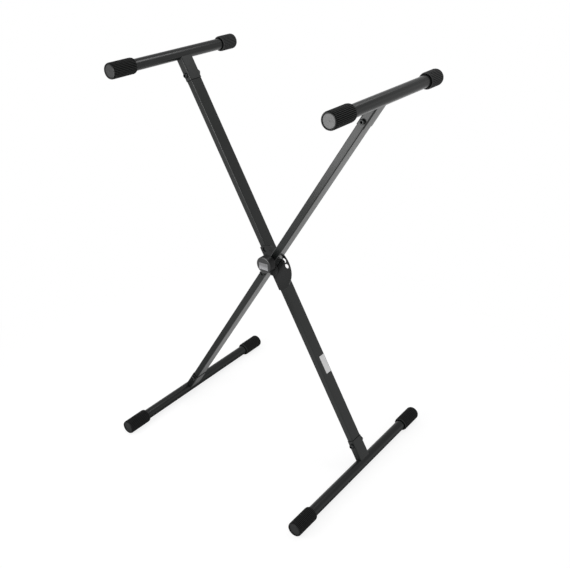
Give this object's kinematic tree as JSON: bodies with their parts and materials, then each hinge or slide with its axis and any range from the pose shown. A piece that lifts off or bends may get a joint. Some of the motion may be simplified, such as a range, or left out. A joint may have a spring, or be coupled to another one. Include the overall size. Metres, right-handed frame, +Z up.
{
  "type": "keyboard stand",
  "caption": "Folding X-type keyboard stand: crossed rectangular tube legs on a pivot bolt with a sprung pin lock, round bars with ribbed rubber caps.",
  "frame": {"origin": "on the floor, below the pivot, in the middle of the footprint", "axes": "+Z up, +X across the spread of the legs to the right, +Y along the bars to the rear"},
  "size_m": [0.5344, 0.4884, 0.8607],
  "materials": {
    "black_paint": "semi-gloss powder coat",
    "black_steel": "blackened",
    "rubber": "matte, ribbed",
    "black_plastic": "satin",
    "bright_steel": "zinc plated"
  },
  "bodies": {
    "rear_leg": {"leg_rear": "black_paint", "socket_top_left": "black_paint", "bolt_top_left": "black_steel", "nut_top_left": "black_steel", "bar_top_left": "black_paint", "cap_top_left_front": "rubber", "cap_top_left_rear": "rubber", "socket_foot_right": "black_paint", "bolt_foot_right": "black_steel", "nut_foot_right": "black_steel", "bar_foot_right": "black_paint", "cap_foot_right_front": "rubber", "cap_foot_right_rear": "rubber", "lock_plate": "black_paint", "pivot_bolt": "black_steel", "pivot_spacer": "black_plastic", "pivot_washer": "black_steel", "pivot_nut": "black_steel"},
    "front_leg": {"leg_front": "black_paint", "socket_top_right": "black_paint", "bolt_top_right": "black_steel", "nut_top_right": "black_steel", "bar_top_right": "black_paint", "cap_top_right_front": "rubber", "cap_top_right_rear": "rubber", "socket_foot_left": "black_paint", "bolt_foot_left": "black_steel", "nut_foot_left": "black_steel", "bar_foot_left": "black_paint", "cap_foot_left_front": "rubber", "cap_foot_left_rear": "rubber", "guide_bush": "black_steel"},
    "lock": {"lock_knob": "black_plastic", "lock_pin": "bright_steel", "lock_spring": "bright_steel"}
  },
  "joints": [
    {"name": "leg_spread", "type": "hinge", "parent": "rear_leg", "child": "front_leg", "pos_m": [0, 0, 0.43035], "axis": [0, 1, 0], "range_deg": [-58.4, 35]},
    {"name": "lock_pull", "type": "slide", "parent": "front_leg", "child": "lock", "axis": [0, -1, 0], "range_m": [-0.0023, 0.004], "stiffness_N_per_m": 600, "springref_m": -0.0023, "deforming": ["lock_spring"]}
  ]
}
